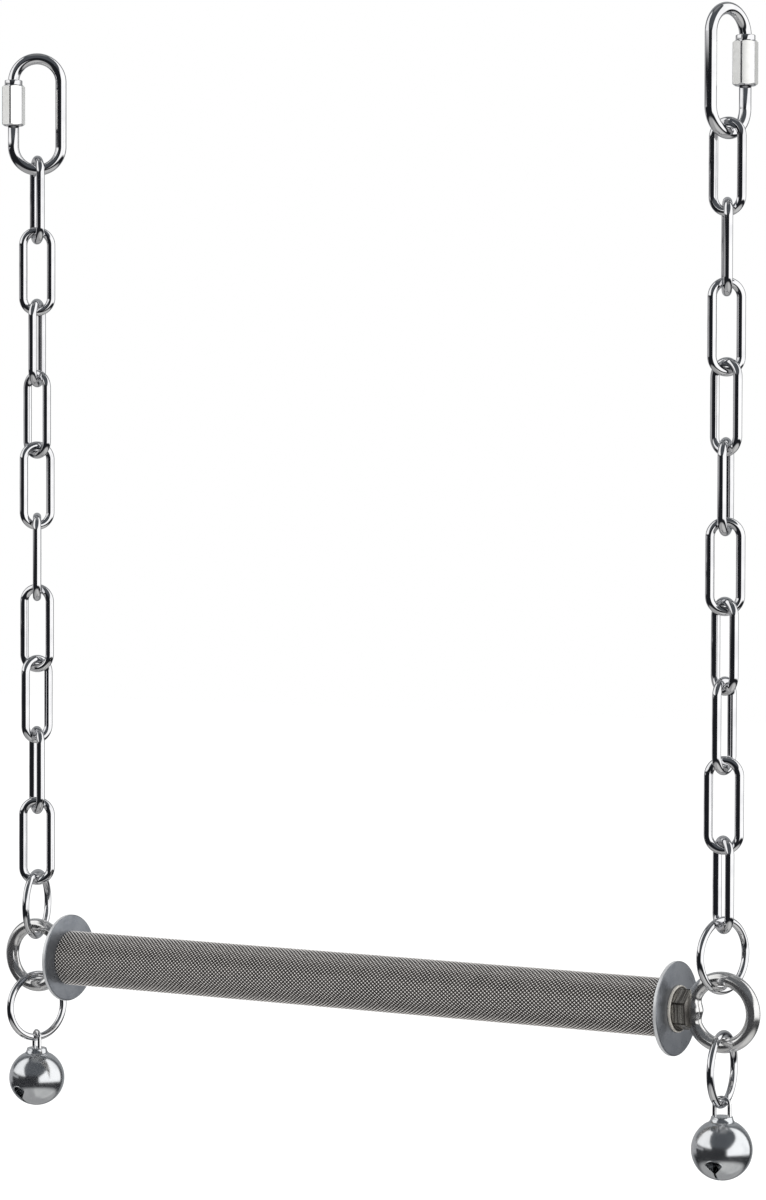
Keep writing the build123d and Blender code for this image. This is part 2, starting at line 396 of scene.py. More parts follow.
class Graph:
    """Adds nodes and links to one node tree."""

    def __init__(self, tree: bpy.types.NodeTree) -> None:
        """Start with an empty tree."""
        self.tree = tree
        tree.nodes.clear()

    def node(self, kind: str, inputs: dict | None = None, **settings: object) -> bpy.types.Node:
        """Add one node.

        Args:
            kind: The node's type name without the leading ShaderNode.
            inputs: Values or sockets for its inputs, by name or number.
            settings: The node's own properties.

        Returns:
            The new node.
        """
        node = self.tree.nodes.new(f"ShaderNode{kind}")
        for key, value in settings.items():
            setattr(node, key, value)
        for key, value in (inputs or {}).items():
            if isinstance(value, Socket):
                self.tree.links.new(value, node.inputs[key])
            else:
                node.inputs[key].default_value = value
        return node

    def math(self, operation: str, *values: object) -> Socket:
        """Add a Math node and give its result."""
        return self.node("Math", dict(enumerate(values)), operation=operation).outputs[0]

    def ramp(self, value: Socket, low: float, high: float, *ends: float) -> Socket:
        """Map a value smoothly from one range to another.

        Args:
            value: The socket to map.
            low: The value that gives the first end.
            high: The value that gives the second end.
            ends: The two results, 0 and 1 if not given.

        Returns:
            The mapped socket.
        """
        first, second = ends or (0.0, 1.0)
        inputs = {"Value": value, "From Min": low, "From Max": high, "To Min": first, "To Max": second}
        return self.node("MapRange", inputs, interpolation_type="SMOOTHSTEP").outputs[0]

    def blend(self, share: Socket, first: object, second: object) -> Socket:
        """Mix two colours by a share.

        Args:
            share: 0 gives the first colour and 1 the second.
            first: A colour or a colour socket.
            second: A colour or a colour socket.

        Returns:
            The mixed colour.
        """
        inputs = {0: share}
        for number, colour in ((6, first), (7, second)):
            inputs[number] = colour if isinstance(colour, Socket) else (*colour, 1.0)
        return self.node("Mix", inputs, data_type="RGBA").outputs[2]

    def layers(self, share: Socket, first: bpy.types.Node, second: bpy.types.Node) -> bpy.types.Node:
        """Mix two shaders by a share, and give the mixing node."""
        return self.node("MixShader", {0: share, 1: first.outputs[0], 2: second.outputs[0]})

    def noise(self, vector: Socket, scale: float, detail: float = 4.0) -> Socket:
        """Add a noise texture and give its value."""
        inputs = {"Vector": vector, "Scale": scale, "Detail": detail}
        return self.node("TexNoise", inputs).outputs[0]

    def stretched(self, vector: Socket, scale: Sequence[float]) -> Socket:
        """Scale a coordinate along each axis."""
        return self.node("Mapping", {"Vector": vector, "Scale": scale}).outputs[0]


# Finishes

STAIN_EDGES = (0.42, 0.68)
GLOSS_EDGES = (0.3, 0.7)
CLOUD_RATIO = 5  # clouds in the gloss to one stain
MARK_HEIGHT = 0.05 * MM
WIRE_STRETCH, SHEET_STRETCH = 40, 20  # length of a mark to its width


class Marks(Enum):
    """How a finish's fine marks run."""

    DRAWN = "lines along a drawn wire"
    TURNED = "rings round the bar's axis"
    ROLLED = "lines across the bar's axis"
    EVEN = "fine grain all over"


@dataclass(frozen=True)
class Steel:
    """Bare or plated steel with drifting colour, uneven gloss and fine marks."""

    name: str
    slot: str
    colour: Colour
    stain: Colour
    gloss: Point
    marks: Marks
    mark_scale: float
    bump: float
    stain_scale: float = 140.0
    metal: float = 1.0
    axis: Point = (0.0, 0.0)

    def mark_coordinate(self, graph: Graph) -> Socket:
        """Give the coordinate that the marks follow.

        Args:
            graph: The material's graph.

        Returns:
            A vector socket, already scaled for a noise of scale 1.
        """
        texture = graph.node("TexCoord")
        size = self.mark_scale
        if self.marks is Marks.DRAWN:
            return graph.stretched(texture.outputs["UV"], (size / WIRE_STRETCH, size, 1.0))
        if self.marks is Marks.ROLLED:
            length = size / SHEET_STRETCH
            return graph.stretched(texture.outputs["Object"], (size, length, length))
        if self.marks is Marks.TURNED:
            radius = graph.math("MULTIPLY", self.radius_socket(graph), size)
            return graph.node("CombineXYZ", {0: radius}).outputs[0]
        return graph.stretched(texture.outputs["Object"], (size, size, size))

    def radius_socket(self, graph: Graph) -> Socket:
        """Give the distance from the bar's axis.

        Args:
            graph: The material's graph.

        Returns:
            A value socket.
        """
        place = graph.node("SeparateXYZ", {0: graph.node("TexCoord").outputs["Object"]})
        across = graph.math("SUBTRACT", place.outputs[1], self.axis[0])
        up = graph.math("SUBTRACT", place.outputs[2], self.axis[1])
        square = graph.math("ADD", graph.math("POWER", across, 2.0), graph.math("POWER", up, 2.0))
        return graph.math("SQRT", square)

    def colour_socket(self, graph: Graph) -> Socket:
        """Give the colour, which drifts between the clean and the stained one.

        Rolled steel has its stains in its lines.

        Args:
            graph: The material's graph.

        Returns:
            A colour socket.
        """
        if self.marks is Marks.ROLLED:
            patches = graph.noise(self.mark_coordinate(graph), 1.0, detail=1.0)
        else:
            place = graph.node("TexCoord").outputs["Object"]
            patches = graph.noise(place, self.stain_scale, detail=3.0)
        return graph.blend(graph.ramp(patches, *STAIN_EDGES), self.colour, self.stain)

    def metal_value(self, graph: Graph) -> object:
        """Give how metallic the surface is, here the same all over."""
        return self.metal

    def material(self) -> bpy.types.Material:
        """Make the material.

        Returns:
            A new material with its nodes.
        """
        material = bpy.data.materials.new(self.name)
        material.use_nodes = True
        graph = Graph(material.node_tree)
        marks = graph.noise(self.mark_coordinate(graph), 1.0)
        place = graph.node("TexCoord").outputs["Object"]
        cloud = graph.noise(place, CLOUD_RATIO * self.stain_scale, detail=2.0)
        # marks and clouds change the gloss, half and half
        mixed = graph.math("ADD", graph.math("MULTIPLY", marks, 0.5), graph.math("MULTIPLY", cloud, 0.5))
        bump = graph.node("Bump", {"Height": marks, "Strength": self.bump, "Distance": MARK_HEIGHT})
        surface = graph.node(
            "BsdfPrincipled",
            {
                "Base Color": self.colour_socket(graph),
                "Roughness": graph.ramp(mixed, *GLOSS_EDGES, *self.gloss),
                "Normal": bump.outputs[0],
                "Metallic": self.metal_value(graph),
            },
        )
        graph.node("OutputMaterial", {"Surface": surface.outputs[0]})
        return material


@dataclass(frozen=True)
class PaintedLightSteel(Steel):
    """Steel with light and shade painted on by distance from the bar's axis: a painted highlight where it
    stands out from the axis and, where asked, a painted dark reflection along a hexagon's corners.
    """

    # where the painted highlight starts and where it is full, by distance from the axis, then its colour
    # and how metallic it is
    highlight_start_radius: float = 0.0
    highlight_full_radius: float = 0.0
    highlight_colour: Colour = (0.9, 0.9, 0.9)
    highlight_metal: float = 0.4
    # a dark line painted along the corners as a painted dark reflection: where it is full, how far it
    # fades, and its colour
    painted_dark_corner_radius: float = 0.0
    painted_dark_corner_fade: float = 0.2 * MM
    corner: Colour = (0.05, 0.045, 0.04)

    def colour_socket(self, graph: Graph) -> Socket:
        """Give the colour: the steel's own colour, with a painted dark reflection along the corners and a
        painted highlight on the edge or point that stands out from the axis.

        Args:
            graph: The material's graph.

        Returns:
            A colour socket.
        """
        radius = self.radius_socket(graph)
        colour = super().colour_socket(graph)
        # painted dark reflection along the corners
        if self.painted_dark_corner_radius:
            edge = graph.ramp(radius, self.painted_dark_corner_radius - self.painted_dark_corner_fade, self.painted_dark_corner_radius)
            colour = graph.blend(edge, colour, self.corner)
        # painted highlight where the piece stands out from the axis
        return graph.blend(graph.ramp(radius, self.highlight_start_radius, self.highlight_full_radius), colour, self.highlight_colour)

    def metal_value(self, graph: Graph) -> object:
        """Give how metallic the surface is; it is less metallic under the painted highlight, so that the
        painted colour shows as diffuse light.
        """
        ends = (self.metal, self.highlight_metal)
        return graph.ramp(self.radius_socket(graph), self.highlight_start_radius, self.highlight_full_radius, *ends)


# The frame and how finished pieces take their nodes' places


@dataclass
class Bench:
    """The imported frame, the finishes made so far, and how a piece is put in its place."""

    frame: dict
    bodies: dict[str, str] = field(default_factory=dict)
    materials: dict[str, bpy.types.Material] = field(default_factory=dict)

    def __post_init__(self) -> None:
        """Look up the body of every node."""
        for body, nodes in self.frame["record"]["behaviour"]["bodies"].items():
            self.bodies.update({node: body for node in nodes})

    def centre(self, node: str) -> Vector:
        """Give the middle of a node's box."""
        low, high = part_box(node)
        return (low + high) / 2

    def foot(self, node: str) -> Vector:
        """Give the middle of a node's box, moved to its lowest X."""
        low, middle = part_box(node)[0], self.centre(node)
        return Vector((low.x, middle.y, middle.z))

    def turn(self, node: str) -> float:
        """Find how far a flat upright piece is turned about Z.

        Args:
            node: The node's name.

        Returns:
            The angle of its flat from the XZ plane, in radians.
        """
        middle = self.centre(node)
        spread = [0.0, 0.0, 0.0]
        for vertex in self.frame["nodes"][node].data.vertices:
            x, y = vertex.co.x - middle.x, vertex.co.y - middle.y
            spread = [spread[0] + x * x, spread[1] + x * y, spread[2] + y * y]
        return 0.5 * math.atan2(2 * spread[1], spread[0] - spread[2])

    def finish(self, steel: Steel) -> bpy.types.Material:
        """Give a finish's material, which is made once.

        Args:
            steel: The finish.

        Returns:
            Its material.
        """
        if steel.name not in self.materials:
            self.materials[steel.name] = steel.material()
        return self.materials[steel.name]

    def seat(self, model: Piece, node: str, place: Matrix, *steels: Steel) -> None:
        """Put a copy of a model in a node's place, with its finishes and its body.

        Args:
            model: The modelled piece, in its own frame.
            node: The node that the copy stands for.
            place: Where the model's frame lies.
            steels: The copy's finishes, by the number that its faces carry.
        """
        clear_selection()
        piece = model.copy()
        piece.data = model.data.copy()
        piece.name = f"{node}_finished"
        bpy.context.scene.collection.objects.link(piece)
        piece.data.transform(place)
        slots = piece.data.materials
        for number, steel in enumerate(steels):
            if number < len(slots):
                slots[number] = self.finish(steel)
            else:
                slots.append(self.finish(steel))
        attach(piece, self.bodies[node])
        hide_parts(node)
        LOG.info("%s rides on %s in %s", piece.name, self.bodies[node], steels[0].name)


def upright(place: Vector, turn: float = 0.0) -> Matrix:
    """Give the matrix that puts a model at a point, turned about Z by so many radians."""
    return Matrix.Translation(place) @ Matrix.Rotation(turn, 4, "Z")


def discard(*models: Piece) -> None:
    """Remove models that have been copied into place."""
    for model in models:
        bpy.data.objects.remove(model, do_unlink=True)


# Sub-assemblies


@dataclass
class WireOval:
    """Round wire bent to an oval or a ring, standing in the XZ plane about its middle."""

    length: float
    width: float
    wire: float
    segments: int = 112
    sides: int = 32

    @property
    def bend(self) -> float:
        """Radius of the wire's centre line in the ends."""
        return (self.width - self.wire) / 2

    def build(self) -> Piece:
        """Model the wire by pulling the two halves of a ring apart.

        Returns:
            The closed mesh.
        """
        obj = added(
            bpy.ops.mesh.primitive_torus_add,
            rotation=(math.pi / 2, math.pi / self.segments, 0),
            major_radius=self.bend,
            minor_radius=self.wire / 2,
            major_segments=self.segments,
            minor_segments=self.sides,
            generate_uvs=True,
        )
        settle(obj)
        stretch = (self.length - self.width) / 2
        if stretch > 0:
            for side in (1, -1):
                pick_vertices(obj, lambda place, side=side: place.z * side > 0)
                bpy.ops.transform.translate(value=(0, 0, side * stretch))
            leave_edit()
        make_active(obj)
        bpy.ops.object.shade_smooth()
        return obj


@dataclass
class Chain:
    """Ten welded links and two welded rings on each side."""

    link_length: float = 32.0 * MM
    link_width: float = 13.0 * MM
    link_wire: float = 3.0 * MM
    link_count: int = 10
    weld_length: float = 4.5 * MM
    weld_swell: float = 0.012
    weld_loops: int = 9
    ring_diameter: float = 25.4 * MM
    ring_wire: float = 2.5 * MM
    ring_weld_swell: float = 0.02
    ring_weld_loops: int = 2

    def link(self) -> Piece:
        """Model one link, with the low swelling of its weld in the middle of one leg.

        Returns:
            The link in its own frame.
        """
        oval = WireOval(self.link_length, self.link_width, self.link_wire)
        obj = oval.build()
        # the leg gets an odd number of loops, and those near its middle are swollen
        pick_edges(obj, lambda a, b: a.x < 0 and b.x < 0 and a.z * b.z < 0)
        bpy.ops.mesh.subdivide(number_cuts=2 * self.weld_loops + 1)
        leave_edit()
        leg = [vertex.co.z for vertex in obj.data.vertices if vertex.co.x < 0]
        for height in sorted({round(z, 6) for z in leg if abs(z) < self.weld_length}):
            share = min(1.0, abs(height) / self.weld_length)
            swell = 1 + self.weld_swell * math.cos(math.pi / 2 * share) ** 2
            pick_vertices(obj, lambda place, height=height: place.x < 0 and abs(place.z - height) < TOUCH)
            bpy.ops.transform.resize(value=(swell, swell, 1), center_override=(-oval.bend, 0, height))
        leave_edit()
        return obj

    def ring(self) -> Piece:
        """Model one ring, slightly swollen where its ends are welded.

        Returns:
            The ring in its own frame.
        """
        oval = WireOval(self.ring_diameter, self.ring_diameter, self.ring_wire)
        obj = oval.build()
        step = TAU / oval.segments
        for loop in range(-self.ring_weld_loops, self.ring_weld_loops + 1):
            angle = (loop + 0.5) * step
            centre = Vector((oval.bend * math.cos(angle), 0, oval.bend * math.sin(angle)))
            swell = 1 + self.ring_weld_swell * math.exp(-(loop + 0.5) ** 2 / 2)
            pick_vertices(obj, lambda place, c=centre: (place - c).length < self.ring_wire / 2 + TOUCH)
            bpy.ops.transform.resize(value=(swell, swell, swell), center_override=centre)
        leave_edit()
        return obj

    def dress(self, bench: Bench, steel: Steel) -> None:
        """Model the links and rings and put them in their places.

        Args:
            bench: The frame.
            steel: Their finish.
        """
        link, ring = self.link(), self.ring()
        for side in SIDES:
            models = {f"chain_link_{side}_{number:02d}": link for number in range(1, self.link_count + 1)}
            models |= {f"chain_ring_{side}": ring, f"bell_ring_{side}": ring}
            for node, model in models.items():
                bench.seat(model, node, upright(bench.centre(node), bench.turn(node)), steel)
        discard(link, ring)


@dataclass
class QuickLink:
    """Oval of round rod with a threaded gate, and the hexagonal sleeve that closes it."""

    length: float = 44.0 * MM
    width: float = 21.0 * MM
    wire: float = 4.0 * MM
    gate_top: float = 9.65 * MM
    gate_bottom: float = 5.15 * MM
    thread_pitch: float = 0.7 * MM
    thread_depth: float = 0.3 * MM
    thread_length: float = 8.0 * MM
    rod_lap: float = 0.5 * MM
    sleeve_flats: float = 7.5 * MM
    sleeve_length: float = 16.4 * MM
    sleeve_cap: float = 3.3 * MM
    sleeve_slope: float = 35.0
    sleeve_corner: float = 0.35 * MM
    collar_length: float = 1.75 * MM
    collar_diameter: float = 6.4 * MM
    bore: float = 4.4 * MM
    sleeve_turns: dict[str, float] = field(default_factory=lambda: {"left": 14.0, "right": 22.0})

    def threaded_end(self, bottom: float, top: float) -> Piece:
        """Turn one threaded rod end that points up.

        Args:
            bottom: The height of its lower end.
            top: The height of its tip.

        Returns:
            The rod end on the Z axis.
        """
        crest, root = self.wire / 2, self.wire / 2 - self.thread_depth
        turns = int(min(self.thread_length, top - bottom - self.rod_lap) / self.thread_pitch)
        profile = [(0.0, bottom), (crest, bottom)]
        profile += thread_profile(crest, root, top, self.thread_pitch, turns)
        profile += [(crest, top - self.thread_depth), (root, top), (0.0, top)]
        return turned(profile, steps=32)

    def oval(self) -> Piece:
        """Model the rod, open at its gate, with the gate leg at +X.

        Returns:
            The rod in its own frame.
        """
        shape = WireOval(self.length, self.width, self.wire)
        obj = shape.build()
        straight = (self.length - self.width) / 2
        pick_edges(obj, lambda a, b: a.x > 0 and b.x > 0 and a.z * b.z < 0)
        bpy.ops.mesh.delete(type="EDGE_FACE")
        bpy.ops.mesh.select_all(action="SELECT")
        bpy.ops.mesh.fill_holes(sides=0)
        leave_edit()
        lower = self.threaded_end(-straight - self.rod_lap, self.gate_bottom)
        upper = self.threaded_end(-straight - self.rod_lap, -self.gate_top)
        upper.data.transform(Matrix.Rotation(math.pi, 4, "X"))
        for end in (lower, upper):
            end.data.transform(Matrix.Translation((shape.bend, 0, 0)))
            combine(obj, end, Join.ADD)
        clean_cuts(obj)
        smooth_by_angle(obj, degrees=50.0)
        return obj

    def sleeve(self) -> Piece:
        """Model the sleeve nut with rounded corners and a turned collar, its top at the origin.

        Returns:
            The sleeve in its own frame, with its turned faces and rounded edges numbered 1.
        """
        low, high = -self.sleeve_length, -self.collar_length
        edge, cap, corner = self.sleeve_corner, self.sleeve_cap, self.sleeve_flats / math.sqrt(3)
        obj = number_faces(hexagon(self.sleeve_flats, high - low + 2 * PAST, edge), 0)
        obj.data.transform(Matrix.Translation((0, 0, low - PAST)))
        # the narrow faces of the rounded upright edges take the turned faces' finish
        for face in obj.data.polygons:
            face.material_index = int(face.area < edge * self.sleeve_length)
        # a barrel with sloping ends takes the hexagon's corners off
        drop = (corner - cap) * math.tan(math.radians(self.sleeve_slope))
        barrel = [(0.0, low), (cap, low), (corner, low + drop)]
        barrel += [(corner, high - drop), (cap, high), (0.0, high)]
        combine(obj, number_faces(turned(barrel, steps=128), 1), Join.TRIM)
        radius = self.collar_diameter / 2
        collar = [(0.0, high - edge), (radius, high - edge)]
        collar += arc((radius - edge, -edge), edge, 0, 90, count=5) + [(0.0, 0.0)]
        combine(obj, number_faces(turned(collar), 1), Join.ADD)
        hole = rod(self.bore / 2, low - PAST, PAST, steps=48)
        combine(obj, number_faces(hole, 1), Join.CUT)
        clean_cuts(obj)
        smooth_by_angle(obj, degrees=25.0)
        return obj

    def dress(self, bench: Bench, rod_steel: Steel, sleeve_steel: Steel) -> None:
        """Model both pieces and put them in their places.

        Args:
            bench: The frame.
            rod_steel: The rod's finish.
            sleeve_steel: The finish of the sleeve's flats; its other faces are as the rod.
        """
        oval, sleeve = self.oval(), self.sleeve()
        for side in SIDES:
            # the oval's middle is on the chain's axis, and the sleeve stands on the gate's leg
            middle = bench.centre(f"chain_link_{side}_01")
            middle.z = bench.centre(f"quick_link_{side}").z
            leg = bench.centre(f"sleeve_nut_{side}")
            leg.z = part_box(f"sleeve_nut_{side}")[1].z
            gate = math.atan2(leg.y - middle.y, leg.x - middle.x)
            bench.seat(oval, f"quick_link_{side}", upright(middle, gate), rod_steel)
            turn = gate + math.radians(self.sleeve_turns[side])
            bench.seat(sleeve, f"sleeve_nut_{side}", upright(leg, turn), sleeve_steel, rod_steel)
        discard(oval, sleeve)


@dataclass
class Perch:
    """Knurled bar with a washer and an eye bolt at each end, and a lock nut at the right end."""

    bar_diameter: float = 19.5 * MM
    knurl_depth: float = 0.45 * MM
    knurl_around: int = 46
    knurl_bands: int = 7
    knurl_cuts: int = 22
    thread: float = 6.0 * MM
    thread_depth: float = 20.0 * MM
    thread_pitch: float = 1.0 * MM
    thread_cut: float = 0.45 * MM
    washer_thickness: float = 1.5 * MM
    washer_diameter: float = 31.0 * MM
    washer_hole: float = 6.4 * MM
    washer_edge: float = 0.45 * MM
    nut_flats: float = 12.0 * MM
    nut_edge: float = 0.3 * MM
    flange_diameter: float = 15.5 * MM
    flange_thickness: float = 1.0 * MM
    hex_turn: float = 8.0
    eye_diameter: float = 26.5 * MM
    eye_wire: float = 4.7 * MM
    eye_bulge: float = 6.1 * MM
    bulge_reach: float = 5.5 * MM
    collar_length: float = 2.9 * MM
    collar_gap: float = 0.25 * MM

    def bar(self, length: float) -> Piece:
        """Model the bar along X about its middle, with every diamond of its knurl.

        Args:
            length: The bar's length.

        Returns:
            The bar in its own frame.
        """
        groove = self.bar_diameter / 2 - self.knurl_depth
        obj = added(
            bpy.ops.mesh.primitive_cylinder_add,
            vertices=self.knurl_around,
            radius=groove,
            depth=length,
            end_fill_type="NOTHING",
            rotation=(0, math.pi / 2, 0),
        )
        settle(obj)
        # rings along the bar, in two steps
        for cuts in (self.knurl_bands - 1, self.knurl_cuts):
            pick_edges(obj, lambda a, b: abs(a.x - b.x) > TOUCH)
            bpy.ops.mesh.subdivide(number_cuts=cuts)
        leave_edit()
        corners = len(obj.data.vertices)
        end = length / 2 - TOUCH
        # crossing the cells and taking their sides away leaves diamonds, which are raised to points
        enter_edit(obj, Element.FACE, whole=True)
        bpy.ops.mesh.poke()
        enter_edit(obj, Element.EDGE)
        leave_edit()
        vertices = obj.data.vertices
        for edge in obj.data.edges:
            first, second = edge.vertices
            on_end = abs(vertices[first].co.x) > end and abs(vertices[second].co.x) > end
            edge.select = first < corners and second < corners and not on_end
        bpy.ops.object.mode_set(mode="EDIT")
        bpy.ops.mesh.dissolve_edges(use_verts=False)
        enter_edit(obj, Element.FACE, whole=True)
        bpy.ops.mesh.poke(offset=self.knurl_depth, use_relative_offset=False)
        leave_edit()
        # plain end faces round the tapped holes
        for side in (1, -1):
            pick_vertices(obj, lambda place, side=side: side * place.x > end)
            middle = (side * length / 2, 0, 0)
            share = self.thread / 2 / groove
            bpy.ops.mesh.extrude_region_move(TRANSFORM_OT_translate={"value": (0, 0, 0)})
            bpy.ops.transform.resize(value=(1, share, share), center_override=middle)
            inward = (-side * self.thread_depth, 0, 0)
            bpy.ops.mesh.extrude_region_move(TRANSFORM_OT_translate={"value": inward})
            bpy.ops.mesh.edge_face_add()
            leave_edit()
        enter_edit(obj, whole=True)
        bpy.ops.mesh.normals_make_consistent(inside=False)
        leave_edit()
        return obj

    def washer(self) -> Piece:
        """Turn one washer about Z, from the XY plane up, with a rolled outer edge.

        Returns:
            The washer in its own frame.
        """
        outer, hole, edge = self.washer_diameter / 2, self.washer_hole / 2, self.washer_edge
        top = self.washer_thickness
        profile = [(hole, edge / 2), (hole + edge / 2, 0.0)]
        profile += arc((outer - edge, edge), edge, -90, 0, count=6)
        profile += arc((outer - edge, top - edge), edge, 0, 90, count=6)
        profile += [(hole + edge / 2, top), (hole, top - edge / 2), (hole, edge / 2)]
        obj = turned(profile, steps=160)
        smooth_by_angle(obj, degrees=40.0)
        return obj

    def nut(self, thickness: float) -> Piece:
        """Model the lock nut on the XY plane, on its round flange.

        Args:
            thickness: The nut's thickness.

        Returns:
            The nut in its own frame.
        """
        flat, edge = self.nut_flats / 2, self.nut_edge
        obj = hexagon(self.nut_flats, thickness - edge, edge)
        obj.data.transform(Matrix.Translation((0, 0, edge)))
        rim, top = self.flange_diameter / 2, self.flange_thickness
        flange = [(0.0, 0.0)] + arc((rim - edge, edge), edge, -90, 0, count=5)
        flange += arc((rim - edge, top - edge), edge, 0, 70, count=5)
        flange += [(flat, top + edge / 2), (0.0, top + edge / 2)]
        combine(obj, turned(flange, steps=128), Join.ADD)
        combine(obj, rod(self.thread / 2, -PAST, thickness + PAST, steps=64), Join.CUT)
        clean_cuts(obj)
        smooth_by_angle(obj, degrees=25.0)
        return obj

    def eye(self, shank_end: float, hex_turn: float) -> Piece:
        """Model the eye in the XZ plane, swollen where its collar and threaded shank leave along +X.

        Args:
            shank_end: How far the shank reaches from the eye's middle.
            hex_turn: The turn of the hexagonal collar in degrees.

        Returns:
            The eye bolt in its own frame, with its collar's faces numbered 1.
        """
        oval = WireOval(self.eye_diameter, self.eye_diameter, self.eye_wire, segments=160, sides=36)
        obj = oval.build()
        step = TAU / oval.segments
        loops = int(self.bulge_reach / (oval.bend * step)) + 1
        most, near = self.eye_bulge / self.eye_wire - 1, 2 * self.eye_wire
        for loop in range(-loops, loops):
            angle = (loop + 0.5) * step
            share = min(1.0, abs(angle) * oval.bend / self.bulge_reach)
            swell = 1 + most * (0.5 + 0.5 * math.cos(math.pi * share))
            outward = Vector((math.cos(angle), 0, math.sin(angle)))
            across = Vector((-math.sin(angle), 0, math.cos(angle)))
            # it swells inwards, so the outer edge keeps its place
            edge = outward * self.eye_diameter / 2
            pick_vertices(obj, lambda p, n=across: abs(p.dot(n)) < TOUCH and p.x > 0 and abs(p.z) < near)
            bpy.ops.transform.resize(value=(swell, swell, swell), center_override=edge)
        leave_edit()
        along = Matrix.Rotation(math.pi / 2, 4, "Y")
        seat = self.eye_diameter / 2 + self.collar_gap
        length = self.collar_length
        collar = hexagon(self.nut_flats, length, self.nut_edge)
        collar.data.transform(Matrix.Rotation(math.radians(hex_turn), 4, "X") @ along)
        collar.data.transform(Matrix.Translation((seat - length, 0, 0)))
        combine(number_faces(obj, 0), number_faces(collar, 1), Join.ADD)
        radius, start = self.thread / 2, seat - length / 2
        turns = int((self.thread_depth - self.thread_pitch) / self.thread_pitch)
        root = radius - self.thread_cut
        profile = [(0.0, start), (radius, start)]
        profile += thread_profile(radius, root, shank_end, self.thread_pitch, turns)
        profile += [(root, shank_end), (0.0, shank_end)]
        shank = turned(profile, steps=48)
        shank.data.transform(along)
        combine(obj, shank, Join.ADD)
        smooth_by_angle(obj, degrees=25.0)
        return obj

    def dress(self, bench: Bench, finishes: dict[str, Steel]) -> None:
        """Model the perch's pieces and put them in their places.

        Args:
            bench: The frame.
            finishes: The finishes of the bar, washers, nut and eyes, by those words.
        """
        low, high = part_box("perch_bar")
        bar = self.bar(high.x - low.x)
        bench.seat(bar, "perch_bar", upright((low + high) / 2), finishes["bar"])
        along = Matrix.Rotation(math.pi / 2, 4, "Y")
        washer = self.washer()
        for side in SIDES:
            node = f"end_washer_{side}"
            bench.seat(washer, node, Matrix.Translation(bench.foot(node)) @ along, finishes["washer"])
            eye_low, eye_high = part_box(f"eye_bolt_{side}")
            reach = eye_high.x - eye_low.x - self.eye_diameter / 2
            inward = 1 if side == "left" else -1
            eye = self.eye(reach, inward * self.hex_turn)
            middle = bench.centre(f"eye_bolt_{side}")
            middle.x = (eye_low.x if inward > 0 else eye_high.x) + inward * self.eye_diameter / 2
            turn = 0.0 if inward > 0 else math.pi
            bench.seat(eye, f"eye_bolt_{side}", upright(middle, turn), finishes["eye"], finishes["nut"])
            discard(eye)
        nut_low, nut_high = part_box("lock_nut")
        nut = self.nut(nut_high.x - nut_low.x)
        turn = Matrix.Rotation(math.radians(self.hex_turn), 4, "X")
        place = Matrix.Translation(bench.foot("lock_nut")) @ turn @ along
        bench.seat(nut, "lock_nut", place, finishes["nut"])
        discard(bar, washer, nut)


